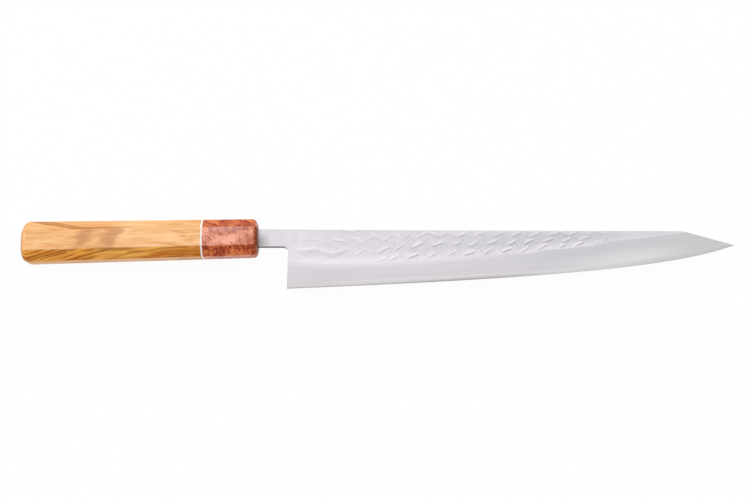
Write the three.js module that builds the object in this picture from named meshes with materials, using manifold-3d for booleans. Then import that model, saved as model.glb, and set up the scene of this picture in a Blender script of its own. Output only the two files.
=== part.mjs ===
// Sujihiki: a long slicing knife with a laminated, hammered blade and an octagonal wooden handle.
// Millimetres. The knife lies on its left side: +X runs to the tip, +Y to the spine, +Z out of the
// right face. The blade is drawn from the heel (x = 0) and down from the spine (y = 0), about its
// middle plane (z = 0). The handle is drawn behind the mouth of the ferrule, along its own axis.
import * as THREE from 'three';
import { mergeVertices } from 'three/addons/utils/BufferGeometryUtils.js';
import Module from 'manifold-3d';

// Blade outline
const BLADE_LENGTH = 270; // heel to tip
const HEEL_HEIGHT = 36.1;
const TIP_DROP = 8.5; // tip below the spine
const TIP_SLANT_LENGTH = 31; // slanted tip line, measured along the blade
const EDGE_HEEL_REACH = 200; // control point of the edge curve ahead of the heel
const EDGE_HEEL_RISE = 8.6;
const EDGE_TIP_REACH = 27; // control point of the edge curve behind the tip
const EDGE_TIP_FALL = 9.4;
const NECK_LENGTH = 18; // ferrule mouth to heel
const NECK_HEIGHT = 10.6;
const NOTCH_RADIUS = 3.4; // inside corner between neck and heel
const HEEL_RAKE = 0.4; // the heel leans forward from its point to the notch

// Blade thickness and grind
const NECK_THICKNESS = 3.8;
const SPINE_THICKNESS = 2.3;
const TIP_SPINE_THICKNESS = 1.3;
const DRAWN_LENGTH = 60; // ahead of the heel, where the neck is drawn down to the spine
const BEVEL_HEEL_HEIGHT = 14;
const BEVEL_TIP_HEIGHT = 16.5;
const BEVEL_BULGE = 0.09; // how far the ground bevel stands out of flat
const CUTTING_BEVEL_HEIGHT = 0.8;
const CUTTING_BEVEL_THICKNESS = 0.3;
const EDGE_LAND = 0.04;
const CORE_THICKNESS = 0.5;

// Hammer marks on the faces above the bevel
const MARK_START = 14; // from the heel
const MARK_END = 208;
const MARK_DIAMETER = 12;
const MARK_DEPTH = 0.18;
const MARK_PITCH = 10.5;
const MARK_ROW_PITCH = 6.2;
const MARK_RIDGE_ANGLE = THREE.MathUtils.degToRad(25); // slope of the ridges left between the rows
const MARK_SCATTER = 2.4;

// Tang
const TANG_LENGTH = 80; // behind the ferrule mouth
const TANG_HEIGHT = 8.5;
const TANG_END_HEIGHT = 5;
const TANG_END_THICKNESS = 2.4;

// Handle
const HANDLE_DROOP = THREE.MathUtils.degToRad(1.42); // the butt hangs below the spine line
const FERRULE_LENGTH = 32.6;
const SPACER_THICKNESS = 1.1;
const BODY_LENGTH = 108.3;
const FRONT_HEIGHT = 22.2;
const BUTT_HEIGHT = 24.8;
const SIDE_WALL = 2.7; // wood between the dowel bore and a side facet
const CHAMFER_FRONT_HEIGHT = 5.4;
const CHAMFER_BUTT_HEIGHT = 6.2;
const CHAMFER_WIDTH = 5;
const FERRULE_DOME_LENGTH = 3;
const FERRULE_DOME_INSET = 3.8;
const BUTT_DOME_LENGTH = 5.4;
const BUTT_DOME_INSET = 6.6;
const FERRULE_FRONT_WALL = 5;

// Joints between the pieces
const GLUE_LINE = 0.05; // between ferrule, spacer and body
const MOUTH_GAP = 0.4; // round the neck where it enters the ferrule
const DOWEL_CLEARANCE = 0.3;
const BEDDING_CLEARANCE = 0.25; // round the tang
const BEDDING_SIDE = 0.8; // adhesive beside the tang
const BEDDING_COVER = 2.25; // adhesive above and below the tang
const KERF_SPARE = 3; // kerf past the tang end
const DOWEL_HEEL_LENGTH = 8; // solid end of the dowel
const DOWEL_CHAMFER = 1;

// Facets
const EDGE_STEPS = 40;
const NOTCH_STEPS = 6;
const DOME_STEPS = 6;
const ROUND_SEGMENTS = 32;
const MARK_SEGMENTS = 10;
const MARK_RINGS = 2;
const OVERSHOOT = 2; // how far a cutter reaches past the face it cuts
const WELD_DISTANCE = 1e-5; // points closer than this are one point

// Sizes that follow
const MIDDLE = -NECK_HEIGHT / 2; // the handle axis meets the neck half-way down
const DOWEL_DIAMETER = TANG_HEIGHT + 2 * BEDDING_COVER;
const BORE_DIAMETER = DOWEL_DIAMETER + 2 * DOWEL_CLEARANCE;
const KERF_WIDTH = NECK_THICKNESS + 2 * BEDDING_SIDE;
const HANDLE_WIDTH = BORE_DIAMETER + 2 * SIDE_WALL;
const SPACER_FRONT = FERRULE_LENGTH + GLUE_LINE;
const BODY_FRONT = SPACER_FRONT + SPACER_THICKNESS + GLUE_LINE;
const HANDLE_LENGTH = BODY_FRONT + BODY_LENGTH;
const KERF_END = TANG_LENGTH + KERF_SPARE;
const DOWEL_END = KERF_END + DOWEL_HEEL_LENGTH;
const CORNER = BLADE_LENGTH - TIP_SLANT_LENGTH; // where the spine turns down to the tip

const wasm = await Module();
wasm.setup();

// A closed solid from a three.js geometry
function solid(geometry) {
  const bare = geometry.clone();
  bare.deleteAttribute('normal');
  bare.deleteAttribute('uv');
  const merged = mergeVertices(bare, WELD_DISTANCE);
  const corners = [];
  const index = merged.index.array;
  for (let i = 0; i < index.length; i += 3) {
    const [a, b, c] = index.slice(i, i + 3);
    if (a !== b && b !== c && c !== a) {
      corners.push(a, b, c);
    }
  }
  return new wasm.Manifold(new wasm.Mesh({
    numProp: 3,
    vertProperties: new Float32Array(merged.attributes.position.array),
    triVerts: new Uint32Array(corners),
  }));
}

function geometryOf(body) {
  const mesh = body.getMesh();
  const geometry = new THREE.BufferGeometry();
  geometry.setAttribute('position', new THREE.BufferAttribute(mesh.vertProperties, 3));
  geometry.setIndex(new THREE.BufferAttribute(mesh.triVerts, 1));
  geometry.computeVertexNormals();
  return geometry;
}

function piece(name, body, colour, roughness, metalness) {
  const material = new THREE.MeshStandardMaterial({ color: colour, roughness, metalness });
  const mesh = new THREE.Mesh(geometryOf(body), material);
  mesh.name = name;
  return mesh;
}

// A skin over rings of equal count, set one after another towards +X, with both ends capped.
// Each ring runs anticlockwise seen from +X.
function loft(rings) {
  const count = rings[0].length;
  const positions = rings.flat().flatMap((point) => [point.x, point.y, point.z]);
  const index = [];
  for (let ring = 0; ring + 1 < rings.length; ring += 1) {
    for (let side = 0; side < count; side += 1) {
      const next = (side + 1) % count;
      const a = ring * count + side;
      const b = ring * count + next;
      index.push(a, b, a + count, b, b + count, a + count);
    }
  }
  const flat = (ring) => ring.map((point) => new THREE.Vector2(point.y, point.z));
  const last = (rings.length - 1) * count;
  for (const [a, b, c] of THREE.ShapeUtils.triangulateShape(flat(rings[0]), [])) {
    index.push(a, c, b);
  }
  for (const [a, b, c] of THREE.ShapeUtils.triangulateShape(flat(rings.at(-1)), [])) {
    index.push(last + a, last + b, last + c);
  }
  const geometry = new THREE.BufferGeometry();
  geometry.setAttribute('position', new THREE.Float32BufferAttribute(positions, 3));
  geometry.setIndex(index);
  return solid(geometry);
}

function box(lengthX, lengthY, lengthZ, centreX) {
  const geometry = new THREE.BoxGeometry(lengthX, lengthY, lengthZ);
  geometry.translate(centreX, 0, 0);
  return solid(geometry);
}

// A round bar along the handle axis, between two distances behind the mouth
function bar(diameter, front, back, chamfer = 0) {
  const radius = diameter / 2;
  const profile = [
    new THREE.Vector2(0, -back),
    new THREE.Vector2(radius - chamfer, -back),
    new THREE.Vector2(radius, -back + chamfer),
    new THREE.Vector2(radius, -front - chamfer),
    new THREE.Vector2(radius - chamfer, -front),
    new THREE.Vector2(0, -front),
  ];
  const geometry = new THREE.LatheGeometry(profile, ROUND_SEGMENTS);
  geometry.rotateZ(-Math.PI / 2);
  return solid(geometry);
}

// Blade outline and grind

const edge = new THREE.CubicBezierCurve(
  new THREE.Vector2(0, -HEEL_HEIGHT),
  new THREE.Vector2(EDGE_HEEL_REACH, -HEEL_HEIGHT + EDGE_HEEL_RISE),
  new THREE.Vector2(BLADE_LENGTH - EDGE_TIP_REACH, -TIP_DROP - EDGE_TIP_FALL),
  new THREE.Vector2(BLADE_LENGTH, -TIP_DROP),
);
const edgePoints = edge.getPoints(EDGE_STEPS);

// A point of the handle, a distance behind the mouth, in the blade's own frame
function onHandle(behind, y) {
  const point = new THREE.Vector2(-behind, y);
  point.rotateAround(new THREE.Vector2(), HANDLE_DROOP);
  return point.add(new THREE.Vector2(-NECK_LENGTH, MIDDLE));
}

function bladeOutline() {
  const notch = new THREE.EllipseCurve(
    HEEL_RAKE - NOTCH_RADIUS, -NECK_HEIGHT - NOTCH_RADIUS, NOTCH_RADIUS, NOTCH_RADIUS,
    0, Math.PI / 2,
  );
  return new THREE.Shape([
    new THREE.Vector2(CORNER, 0),
    ...[...edgePoints].reverse(),
    ...notch.getPoints(NOTCH_STEPS),
    onHandle(FERRULE_FRONT_WALL, -NECK_HEIGHT / 2),
    onHandle(FERRULE_FRONT_WALL, -TANG_HEIGHT / 2),
    onHandle(TANG_LENGTH, -TANG_END_HEIGHT / 2),
    onHandle(TANG_LENGTH, TANG_END_HEIGHT / 2),
    onHandle(FERRULE_FRONT_WALL, TANG_HEIGHT / 2),
    onHandle(FERRULE_FRONT_WALL, NECK_HEIGHT / 2),
    new THREE.Vector2(-NECK_LENGTH, 0),
  ]);
}

function tangThickness(behind) {
  const along = THREE.MathUtils.clamp(behind / TANG_LENGTH, 0, 1);
  return THREE.MathUtils.lerp(NECK_THICKNESS, TANG_END_THICKNESS, along);
}

// Thickness above the bevel: tapering tang, even neck, drawn down past the heel, thin at the tip
function faceThickness(x) {
  if (x < -NECK_LENGTH) {
    return tangThickness(-NECK_LENGTH - x);
  }
  const drawn = THREE.MathUtils.smoothstep(x, 0, DRAWN_LENGTH);
  const along = THREE.MathUtils.clamp(x / CORNER, 0, 1);
  const spine = THREE.MathUtils.lerp(SPINE_THICKNESS, TIP_SPINE_THICKNESS, along);
  return THREE.MathUtils.lerp(NECK_THICKNESS, spine, drawn);
}

function bevelHeight(x) {
  const along = THREE.MathUtils.clamp(x / CORNER, 0, 1);
  return THREE.MathUtils.lerp(BEVEL_HEEL_HEIGHT, BEVEL_TIP_HEIGHT, along);
}

// One cross-section of the ground billet, from above the spine down past the edge and back up
function grindRing(x, edgeY) {
  const bevel = bevelHeight(x);
  const face = faceThickness(x) / 2;
  const cutting = CUTTING_BEVEL_THICKNESS / 2;
  const land = EDGE_LAND / 2;
  const right = [
    [Math.max(edgeY + bevel, 0) + OVERSHOOT, face],
    [edgeY + bevel, face],
    [edgeY + (bevel + CUTTING_BEVEL_HEIGHT) / 2, (face + cutting) / 2 + BEVEL_BULGE],
    [edgeY + CUTTING_BEVEL_HEIGHT, cutting],
    [edgeY, land],
    [edgeY - OVERSHOOT, land],
  ];
  const left = right.map(([y, z]) => [y, -z]).reverse();
  return [...right, ...left].map(([y, z]) => new THREE.Vector3(x, y, z));
}

function groundBillet() {
  const tangEnd = -NECK_LENGTH - TANG_LENGTH;
  const behind = [tangEnd - OVERSHOOT, -NECK_LENGTH, 0];
  const rings = behind.map((x) => grindRing(x, -HEEL_HEIGHT));
  rings.push(...edgePoints.slice(1).map((point) => grindRing(point.x, point.y)));
  rings.push(grindRing(BLADE_LENGTH + OVERSHOOT, -TIP_DROP));
  return loft(rings);
}

function blank(outline, low, high) {
  const geometry = new THREE.ExtrudeGeometry(outline, { depth: high - low, bevelEnabled: false });
  geometry.translate(0, 0, low);
  return solid(geometry);
}

// Hammer marks

// Even scatter between -0.5 and 0.5, the same on every run
const SCATTER_FACTOR = 16807;
const SCATTER_MODULUS = 2147483647;
let scatterState = 11;
function scatter() {
  scatterState = (scatterState * SCATTER_FACTOR) % SCATTER_MODULUS;
  return scatterState / SCATTER_MODULUS - 0.5;
}

// One hammer mark: a shallow dish whose rim is level with the face (side 1 is the right, -1 the left)
function strike(x, y, side) {
  const radius = MARK_DIAMETER / 2;
  const profile = [];
  for (let ring = 0; ring <= MARK_RINGS; ring += 1) {
    const out = ring / MARK_RINGS;
    profile.push(new THREE.Vector2(out * radius, MARK_DEPTH * (out ** 2 - 1)));
  }
  profile.push(new THREE.Vector2(radius, OVERSHOOT), new THREE.Vector2(0, OVERSHOOT));
  const geometry = new THREE.LatheGeometry(profile, MARK_SEGMENTS);
  geometry.rotateX(side * Math.PI / 2);
  geometry.translate(x, y, side * faceThickness(x) / 2);
  return solid(geometry);
}

function edgeHeightAt(x) {
  const after = edgePoints.findIndex((point) => point.x >= x);
  const [a, b] = [edgePoints[after - 1], edgePoints[after]];
  return THREE.MathUtils.mapLinear(x, a.x, b.x, a.y, b.y);
}

// Rows of marks on one face, each row shifted so that crisp ridges are left between overlapping
// marks, as far down as the bevel
function hammerMarks(side) {
  const marks = [];
  const rows = Math.ceil(HEEL_HEIGHT / MARK_ROW_PITCH);
  const shift = MARK_ROW_PITCH * Math.tan(MARK_RIDGE_ANGLE);
  for (let row = 0; row < rows; row += 1) {
    for (let along = MARK_START + row * shift; along < MARK_END; along += MARK_PITCH) {
      const x = along + MARK_SCATTER * scatter();
      const y = -MARK_ROW_PITCH * (row + 0.5) + MARK_SCATTER * scatter();
      if (y > edgeHeightAt(x) + bevelHeight(x)) {
        marks.push(strike(x, y, side));
      }
    }
  }
  return wasm.Manifold.union(marks);
}

function bladePieces() {
  const outline = bladeOutline();
  const billet = groundBillet();
  const core = CORE_THICKNESS / 2;
  const outside = NECK_THICKNESS;
  const right = blank(outline, core, outside).intersect(billet).subtract(hammerMarks(1));
  const left = blank(outline, -outside, -core).intersect(billet).subtract(hammerMarks(-1));
  return [
    piece('core_steel', blank(outline, -core, core).intersect(billet), 0xc4c4c8, 0.3, 1),
    piece('cladding_right', right, 0xd6d3da, 0.4, 1),
    piece('cladding_left', left, 0xd6d3da, 0.4, 1),
  ];
}

// Handle

// One octagon across the handle, drawn in by an even inset that keeps every facet parallel
function octagon(behind, inset) {
  const along = behind / HANDLE_LENGTH;
  const height = THREE.MathUtils.lerp(FRONT_HEIGHT, BUTT_HEIGHT, along) / 2 - inset;
  const width = HANDLE_WIDTH / 2 - inset;
  const legY = THREE.MathUtils.lerp(CHAMFER_FRONT_HEIGHT, CHAMFER_BUTT_HEIGHT, along);
  const shrink = 1 - inset * (1 / legY + 1 / CHAMFER_WIDTH - Math.hypot(1 / legY, 1 / CHAMFER_WIDTH));
  const y = height - legY * shrink;
  const z = width - CHAMFER_WIDTH * shrink;
  const corners = [
    [height, -z], [height, z], [y, width], [-y, width],
    [-height, z], [-height, -z], [-y, -width], [y, -width],
  ];
  return corners.map(([cornerY, cornerZ]) => new THREE.Vector3(-behind, cornerY, cornerZ));
}

// Rings of a domed end, from the end face to the full section, a signed length away from it
function dome(end, length, inset) {
  const rings = [];
  for (let step = 0; step <= DOME_STEPS; step += 1) {
    const turn = (step / DOME_STEPS) * Math.PI / 2;
    const behind = end + length * (1 - Math.cos(turn));
    rings.push(octagon(behind, inset * (1 - Math.sin(turn))));
  }
  return rings;
}

function ferrule() {
  const front = dome(0, FERRULE_DOME_LENGTH, FERRULE_DOME_INSET);
  const whole = loft([octagon(FERRULE_LENGTH, 0), ...front.reverse()]);
  const mouth = box(
    2 * FERRULE_LENGTH, NECK_HEIGHT + 2 * MOUTH_GAP, NECK_THICKNESS + 2 * MOUTH_GAP, 0,
  );
  const bore = bar(BORE_DIAMETER, FERRULE_FRONT_WALL, FERRULE_LENGTH + OVERSHOOT);
  return whole.subtract(mouth).subtract(bore);
}

function spacer() {
  const whole = loft([octagon(SPACER_FRONT + SPACER_THICKNESS, 0), octagon(SPACER_FRONT, 0)]);
  return whole.subtract(bar(BORE_DIAMETER, 0, HANDLE_LENGTH));
}

function handleBody() {
  const butt = dome(HANDLE_LENGTH, -BUTT_DOME_LENGTH, BUTT_DOME_INSET);
  const whole = loft([...butt, octagon(BODY_FRONT, 0)]);
  return whole.subtract(bar(BORE_DIAMETER, 0, DOWEL_END + DOWEL_CLEARANCE));
}

// The kerf sawn down the dowel for the tang
function kerf(front, back) {
  return box(back - front, 2 * BORE_DIAMETER, KERF_WIDTH, -(front + back) / 2);
}

function dowel() {
  const front = FERRULE_FRONT_WALL + DOWEL_CLEARANCE;
  const whole = bar(DOWEL_DIAMETER, front, DOWEL_END, DOWEL_CHAMFER);
  return whole.subtract(kerf(0, KERF_END));
}

function tangSection(behind, height) {
  const y = height / 2 + BEDDING_CLEARANCE;
  const z = tangThickness(behind) / 2 + BEDDING_CLEARANCE;
  const corners = [[y, -z], [y, z], [-y, z], [-y, -z]];
  return corners.map(([cornerY, cornerZ]) => new THREE.Vector3(-behind, cornerY, cornerZ));
}

function tangBedding() {
  const front = FERRULE_FRONT_WALL + DOWEL_CLEARANCE;
  const back = KERF_END - DOWEL_CLEARANCE;
  const filled = kerf(front, back).intersect(bar(DOWEL_DIAMETER, 0, DOWEL_END));
  const tang = loft([
    tangSection(TANG_LENGTH + BEDDING_CLEARANCE, TANG_END_HEIGHT),
    tangSection(FERRULE_FRONT_WALL, TANG_HEIGHT),
  ]);
  return filled.subtract(tang);
}

function handlePieces() {
  const handle = new THREE.Group();
  handle.add(
    piece('ferrule', ferrule(), 0xb5654a, 0.45, 0),
    piece('spacer', spacer(), 0xf8eede, 0.4, 0),
    piece('handle_body', handleBody(), 0xdfae78, 0.5, 0),
    piece('dowel', dowel(), 0xc9a678, 0.7, 0),
    piece('tang_bedding', tangBedding(), 0x6b5a44, 0.5, 0),
  );
  handle.position.set(-NECK_LENGTH, MIDDLE, 0);
  handle.rotation.z = HANDLE_DROOP;
  return handle;
}

// The whole knife, with the origin on the surface it lies on, under the middle of its outline
const assembled = new THREE.Group();
assembled.add(...bladePieces(), handlePieces());
const bounds = new THREE.Box3().setFromObject(assembled, true);
const middle = bounds.getCenter(new THREE.Vector3());
assembled.position.set(-middle.x, -middle.y, -bounds.min.z);

const knife = new THREE.Group();
knife.add(assembled);

export default knife;
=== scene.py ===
import math

import bmesh
import bpy
import numpy as np
from mathutils import Matrix, Vector, kdtree
from mathutils.geometry import delaunay_2d_cdt


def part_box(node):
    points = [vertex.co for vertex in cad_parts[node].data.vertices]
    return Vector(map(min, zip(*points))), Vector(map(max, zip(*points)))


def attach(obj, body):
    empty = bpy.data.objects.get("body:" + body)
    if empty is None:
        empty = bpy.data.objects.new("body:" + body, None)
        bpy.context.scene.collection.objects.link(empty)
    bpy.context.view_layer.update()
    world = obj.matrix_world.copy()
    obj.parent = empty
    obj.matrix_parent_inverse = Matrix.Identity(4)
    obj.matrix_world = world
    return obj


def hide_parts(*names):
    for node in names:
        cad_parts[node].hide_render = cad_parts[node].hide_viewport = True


# The frame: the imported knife, lying on its left side with its tip towards +X and its spine towards
# +Y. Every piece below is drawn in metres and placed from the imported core's own box.
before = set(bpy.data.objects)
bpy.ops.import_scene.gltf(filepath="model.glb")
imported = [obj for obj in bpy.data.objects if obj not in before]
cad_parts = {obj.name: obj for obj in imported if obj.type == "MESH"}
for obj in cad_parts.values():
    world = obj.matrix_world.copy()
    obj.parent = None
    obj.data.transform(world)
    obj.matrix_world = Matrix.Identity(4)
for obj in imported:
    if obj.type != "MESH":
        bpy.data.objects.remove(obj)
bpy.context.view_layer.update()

# Core steel: the hard layer in the middle of the laminated blade, forge-welded between two softer
# ones. It comes to light along the edge, where the bevels are ground through to it, and as a
# hairline along the spine and round the heel. Drawn from the heel (x = 0) and the spine (y = 0).
BLADE_LENGTH = 0.270
HEEL_HEIGHT = 0.0361
HEEL_RAKE = 0.0004
TIP_DROP = 0.0085
TIP_SLANT_LENGTH = 0.031
EDGE_HEEL_REACH = 0.200
EDGE_HEEL_RISE = 0.0086
EDGE_TIP_REACH = 0.027
EDGE_TIP_FALL = 0.0094
EDGE_STEPS = 320
NECK_LENGTH = 0.018
NECK_HEIGHT = 0.0106
NOTCH_RADIUS = 0.0034
NOTCH_STEPS = 16
NECK_THICKNESS = 0.0038
SPINE_THICKNESS = 0.0023
TIP_SPINE_THICKNESS = 0.0013
DRAWN_LENGTH = 0.060
# The bevel's upper line, as distances past the heel and heights above the edge.
BEVEL_TOPS = (
    (0.0, 0.0178), (0.008, 0.0157), (0.020, 0.0138), (0.040, 0.0132), (0.120, 0.0137), (0.160, 0.0148),
    (0.186, 0.0154), (0.196, 0.0167), (0.214, 0.0166), (0.226, 0.0162), (0.239, 0.0159),
)
BEVEL_LINE_EASE = (-0.004, -0.002, 0.0, 0.002, 0.004)
MARK_UNTIL = (0.172, 0.200)
# The waves of that line: the height, length and start of each.
LINE_WAVES = ((0.0004, 0.0061, 0.0), (0.0003, 0.0035, 1.0))
LINE_WAVES_FROM = (0.09, 0.14)
BEVEL_BULGE = 0.00009
CUTTING_BEVEL_HEIGHT = 0.0005
CUTTING_BEVEL_THICKNESS = 0.0002
EDGE_LAND = 0.00004
CORE_THICKNESS = 0.0005
TANG_LENGTH = 0.080
TANG_HEIGHT = 0.0085
TANG_END_HEIGHT = 0.005
TANG_END_THICKNESS = 0.0024
FERRULE_FRONT_WALL = 0.005
HANDLE_DROOP = math.radians(1.42)
CORE_GRID = 0.004
CORE_SHARP_ANGLE = math.radians(20)
CREASE_POINTS_LEFT_OFF = 4
GRID_RIM_SHARE = 0.7
SAME_POINT_DISTANCE = 1e-9
SLIVER_LENGTH = 1e-8
MERGE_DISTANCE = 1e-7

CORNER = BLADE_LENGTH - TIP_SLANT_LENGTH
core_low, core_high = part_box("core_steel")
heel = Vector((core_high.x - BLADE_LENGTH, core_high.y, (core_low.z + core_high.z) / 2))
mouth = Vector((-NECK_LENGTH, -NECK_HEIGHT / 2))

edge_controls = np.array([
    (0, -HEEL_HEIGHT),
    (EDGE_HEEL_REACH, EDGE_HEEL_RISE - HEEL_HEIGHT),
    (BLADE_LENGTH - EDGE_TIP_REACH, -TIP_DROP - EDGE_TIP_FALL),
    (BLADE_LENGTH, -TIP_DROP),
])
way = np.linspace(0, 1, EDGE_STEPS + 1)[:, None]
pulls = [(1 - way) ** 3, 3 * way * (1 - way) ** 2, 3 * way ** 2 * (1 - way), way ** 3]
edge_line = np.hstack(pulls) @ edge_controls


def smooth_step(value, low, high):
    share = np.clip((value - low) / (high - low), 0, 1)
    return share * share * (3 - 2 * share)


def half_thickness(x):
    """Half the blade above its bevel: a tapering tang, an even neck, drawn down past the heel."""
    into_tang = np.clip((-NECK_LENGTH - x) / TANG_LENGTH, 0, 1)
    spine = np.interp(x, (0, CORNER), (SPINE_THICKNESS, TIP_SPINE_THICKNESS))
    drawn = NECK_THICKNESS + (spine - NECK_THICKNESS) * smooth_step(x, 0, DRAWN_LENGTH)
    return (drawn + (TANG_END_THICKNESS - NECK_THICKNESS) * into_tang) / 2


def above_edge(x, y):
    return y - np.interp(x, *edge_line.T)


def bevel_top(x):
    """Height of the bevel's upper line above the edge, wavy where hammer marks run into it."""
    waves = sum(high * np.sin(x / length + start) for high, length, start in LINE_WAVES)
    wavy = smooth_step(x, *LINE_WAVES_FROM) * (1 - smooth_step(x, *MARK_UNTIL))
    eased = [np.interp(x + shift, *np.transpose(BEVEL_TOPS)) for shift in BEVEL_LINE_EASE]
    return np.mean(eased, axis=0) + waves * wavy


def bevel_rise(x, y):
    """Where a point lies on the bevel, from 0 at its foot to 1 at its top."""
    return (above_edge(x, y) - CUTTING_BEVEL_HEIGHT) / (bevel_top(x) - CUTTING_BEVEL_HEIGHT)


def ground_half(x, y):
    """Half the thickness that grinding leaves: a slightly convex bevel over a fine cutting bevel."""
    height = above_edge(x, y)
    rise = bevel_rise(x, y)
    foot = CUTTING_BEVEL_THICKNESS / 2
    bulge = 4 * BEVEL_BULGE * rise * (1 - np.minimum(rise, 1))
    bevel = foot + (half_thickness(x) - foot) * rise + bulge
    cutting = EDGE_LAND / 2 + (foot - EDGE_LAND / 2) * height / CUTTING_BEVEL_HEIGHT
    return np.where(height < CUTTING_BEVEL_HEIGHT, cutting, bevel)


def on_handle(behind, y):
    """A point of the handle's middle plane, a distance behind the mouth, in the blade's frame."""
    return mouth + Matrix.Rotation(HANDLE_DROOP, 2) @ Vector((-behind, y))


def blade_outline(lower_line):
    """The blade and its tang, closed below by a line from the heel to the tip."""
    turn = np.linspace(0, math.pi / 2, NOTCH_STEPS + 1)
    notch = np.column_stack([
        HEEL_RAKE - NOTCH_RADIUS + NOTCH_RADIUS * np.cos(turn),
        -NECK_HEIGHT - NOTCH_RADIUS + NOTCH_RADIUS * np.sin(turn),
    ])
    tang = [
        on_handle(FERRULE_FRONT_WALL, -NECK_HEIGHT / 2),
        on_handle(FERRULE_FRONT_WALL, -TANG_HEIGHT / 2),
        on_handle(TANG_LENGTH, -TANG_END_HEIGHT / 2),
        on_handle(TANG_LENGTH, TANG_END_HEIGHT / 2),
        on_handle(FERRULE_FRONT_WALL, TANG_HEIGHT / 2),
        on_handle(FERRULE_FRONT_WALL, NECK_HEIGHT / 2),
    ]
    return np.vstack([[(CORNER, 0)], lower_line[::-1], notch, tang, [(-NECK_LENGTH, 0)]])


def closed_loop(outline, step):
    """The outline as a closed ring of points no further apart than a step."""
    pieces = []
    for start, end in zip(outline, np.roll(outline, -1, axis=0)):
        count = max(1, math.ceil(np.linalg.norm(end - start) / step))
        pieces.append(start + (end - start) * np.linspace(0, 1, count, endpoint=False)[:, None])
    return np.vstack(pieces)


def lamination_line():
    """Where the bevel is ground through to the core, from the heel to the slanted tip."""
    x = edge_line[:, 0]
    foot = CUTTING_BEVEL_THICKNESS / 2
    across = half_thickness(x) - foot + 4 * BEVEL_BULGE
    depth = CORE_THICKNESS / 2 - foot
    rise = (across - np.sqrt(across ** 2 - 16 * BEVEL_BULGE * depth)) / (8 * BEVEL_BULGE)
    y = edge_line[:, 1] + CUTTING_BEVEL_HEIGHT + rise * (bevel_top(x) - CUTTING_BEVEL_HEIGHT)
    below_slant = np.interp(x, (CORNER, BLADE_LENGTH), (0, -TIP_DROP)) - y
    reached = int(np.argmax(below_slant < 0))
    share = below_slant[reached - 1] / (below_slant[reached - 1] - below_slant[reached])
    line = np.column_stack([x, y])
    meeting = line[reached - 1] + share * (line[reached] - line[reached - 1])
    return np.vstack([line[:reached], meeting])


def grid_points(loop, step, keep):
    """Points of an even grid inside the reach of a loop, where a rule on (x, y) keeps them."""
    near = kdtree.KDTree(len(loop))
    for i, (x, y) in enumerate(loop):
        near.insert((x, y, 0), i)
    near.balance()
    spans = [np.arange(low, high, step) for low, high in zip(loop.min(0), loop.max(0))]
    x, y = (part.ravel() for part in np.meshgrid(*spans))
    kept = np.column_stack([x, y])[keep(x, y)]
    return np.array([point for point in kept if near.find((*point, 0))[2] > GRID_RIM_SHARE * step])


def filled(loop, creases, inner):
    """Triangles inside a loop, with creases as edges and inner points as corners."""
    lines = [loop] + creases
    starts = np.cumsum([0] + [len(line) for line in lines])
    edges = [(i, (i + 1) % len(loop)) for i in range(len(loop))]
    for start, end in zip(starts[1:-1], starts[2:]):
        edges += [(i, i + 1) for i in range(start, end - 1)]
    points = [Vector(point) for point in np.vstack(lines + [inner])]
    flat, _, faces, *_ = delaunay_2d_cdt(points, edges, [], 1, SAME_POINT_DISTANCE)
    return np.array(flat), [tuple(face) for face in faces]


def placed(name, data):
    """A new object in the scene, at the origin."""
    piece = bpy.data.objects.new(name, data)
    bpy.context.collection.objects.link(piece)
    return piece


def blade_layer(name, loop, creases, faces):
    """A closed sheet of steel between two faces, top first, each given as (inner points, height)."""
    points, skin = [], []
    for number, (inner, height) in enumerate(faces):
        flat, corners = filled(loop, creases, inner)
        if number == 0:
            sides = {(a, b) for face in corners for a, b in zip(face, face[1:] + face[:1])}
            rim = np.array([flat[list(side)] for side in sides if side[::-1] not in sides])
        else:
            corners = [face[::-1] for face in corners]
        skin += [tuple(corner + len(points) for corner in face) for face in corners]
        points += np.column_stack([flat, height(*flat.T)]).tolist()
    (_, top), (_, bottom) = faces
    for (ax, ay), (bx, by) in rim:
        x, y = np.array([ax, bx]), np.array([ay, by])
        low, high = bottom(x, y), top(x, y)
        skin.append(tuple(range(len(points), len(points) + 4)))
        points += [(ax, ay, low[0]), (bx, by, low[1]), (bx, by, high[1]), (ax, ay, high[0])]
    mesh = bpy.data.meshes.new(name)
    mesh.from_pydata(np.array(points) + np.array(heel), [], skin)
    closed = bmesh.new()
    closed.from_mesh(mesh)
    bmesh.ops.remove_doubles(closed, verts=closed.verts, dist=MERGE_DISTANCE)
    bmesh.ops.dissolve_degenerate(closed, edges=closed.edges, dist=SLIVER_LENGTH)
    closed.to_mesh(mesh)
    closed.free()
    return placed(name, mesh)


def store(mesh, name, values):
    """Keeps a number for each point of a mesh, for its finish or its node tree to read."""
    mesh.attributes.new(name, "FLOAT", "POINT").data.foreach_set("value", values)


def add_height_above_edge(piece):
    """Stores each point's height above the edge, for finishes that run along the edge."""
    mesh = piece.data
    places = np.empty(len(mesh.vertices) * 3)
    mesh.vertices.foreach_get("co", places)
    x, y, _ = (places.reshape(-1, 3) - np.array(heel)).T
    store(mesh, "above_edge", above_edge(x, y))
    return x, y


def set_even(socket, value):
    """Gives a socket one value all over. A colour is given as red, green and blue."""
    socket.default_value = (*value, 1) if socket.type == "RGBA" else value


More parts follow.
